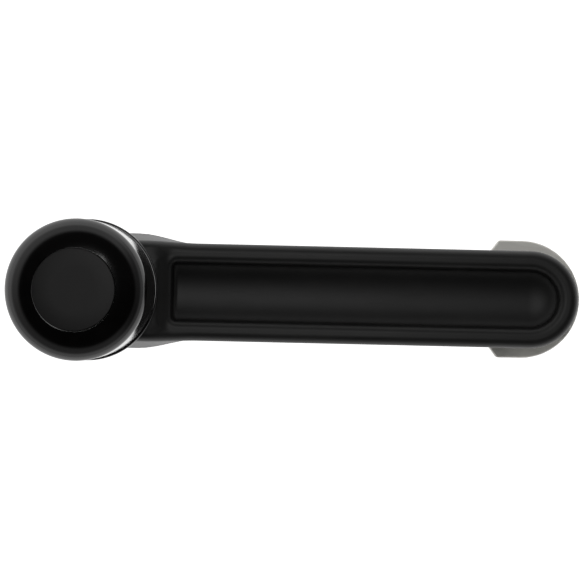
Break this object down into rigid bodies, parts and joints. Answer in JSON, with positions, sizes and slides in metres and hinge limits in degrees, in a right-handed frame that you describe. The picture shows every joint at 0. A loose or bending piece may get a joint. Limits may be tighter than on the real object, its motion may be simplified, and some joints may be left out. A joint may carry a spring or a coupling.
{
  "type": "winch handle",
  "caption": "Crank handle for a deck winch: moulded arm, turning palm knob, star spigot locked by balls, and a lift-to-release collar.",
  "frame": {"origin": "on the drive axis, level with the hub's shoulder that rests on top of the winch", "axes": "+Z along the drive axis, up towards the knob; the arm runs from the drive axis to the knob along -X"},
  "size_m": [0.2637, 0.0646, 0.1285],
  "materials": {
    "arm_nylon": "black glass-filled nylon, satin, fine moulded grain",
    "knob_plastic": "black moulded plastic, semi-gloss",
    "cap_plastic": "black satin disc",
    "collar_nylon": "warm light grey moulded nylon",
    "stainless": "machined stainless steel",
    "brass": "machined brass",
    "acetal": "white machined acetal",
    "seal_rubber": "black rubber"
  },
  "bodies": {
    "arm": {"arm_body": "arm_nylon", "drive_hub": "stainless", "hub_screw_1": "stainless", "hub_screw_2": "stainless", "hub_screw_3": "stainless", "hub_screw_4": "stainless", "hub_insert_1": "brass", "hub_insert_2": "brass", "hub_insert_3": "brass", "hub_insert_4": "brass", "spring_cap": "stainless", "lock_spring": "stainless", "grip_spindle": "stainless", "spindle_washer": "stainless", "spindle_nut": "stainless", "thrust_washer": "stainless", "retaining_washer": "stainless", "retaining_screw": "stainless"},
    "knob": {"grip_shell": "knob_plastic", "grip_base": "knob_plastic", "base_screw_1": "stainless", "base_screw_2": "stainless", "base_screw_3": "stainless", "grip_cap": "cap_plastic", "dust_seal": "seal_rubber", "lower_bush": "acetal", "upper_bush": "acetal"},
    "release": {"lock_collar": "collar_nylon", "cross_pin": "stainless", "lock_plunger": "stainless"},
    "ball_1": {"lock_ball_1": "stainless"},
    "ball_2": {"lock_ball_2": "stainless"},
    "ball_3": {"lock_ball_3": "stainless"},
    "ball_4": {"lock_ball_4": "stainless"}
  },
  "joints": [
    {"name": "knob_spin", "type": "hinge", "parent": "arm", "child": "knob", "pos_m": [-0.2032, 0, 0.0485], "axis": [0, 0, 1], "continuous": true},
    {"name": "release_lift", "type": "slide", "parent": "arm", "child": "release", "axis": [0, 0, 1], "range_m": [0, 0.006], "stiffness_N_per_m": 900, "springref_m": -0.005, "deforming": ["lock_spring"]},
    {"name": "ball_slide_1", "type": "slide", "parent": "arm", "child": "ball_1", "axis": [0.9239, 0.3827, 0], "range_m": [-0.0017, 0]},
    {"name": "ball_slide_2", "type": "slide", "parent": "arm", "child": "ball_2", "axis": [-0.3827, 0.9239, 0], "range_m": [-0.0017, 0]},
    {"name": "ball_slide_3", "type": "slide", "parent": "arm", "child": "ball_3", "axis": [-0.9239, -0.3827, 0], "range_m": [-0.0017, 0]},
    {"name": "ball_slide_4", "type": "slide", "parent": "arm", "child": "ball_4", "axis": [0.3827, -0.9239, 0], "range_m": [-0.0017, 0]}
  ],
  "couplings": [
    {"joint": "ball_slide_1", "follows": "release_lift", "ratio": -0.2833},
    {"joint": "ball_slide_2", "follows": "release_lift", "ratio": -0.2833},
    {"joint": "ball_slide_3", "follows": "release_lift", "ratio": -0.2833},
    {"joint": "ball_slide_4", "follows": "release_lift", "ratio": -0.2833}
  ]
}
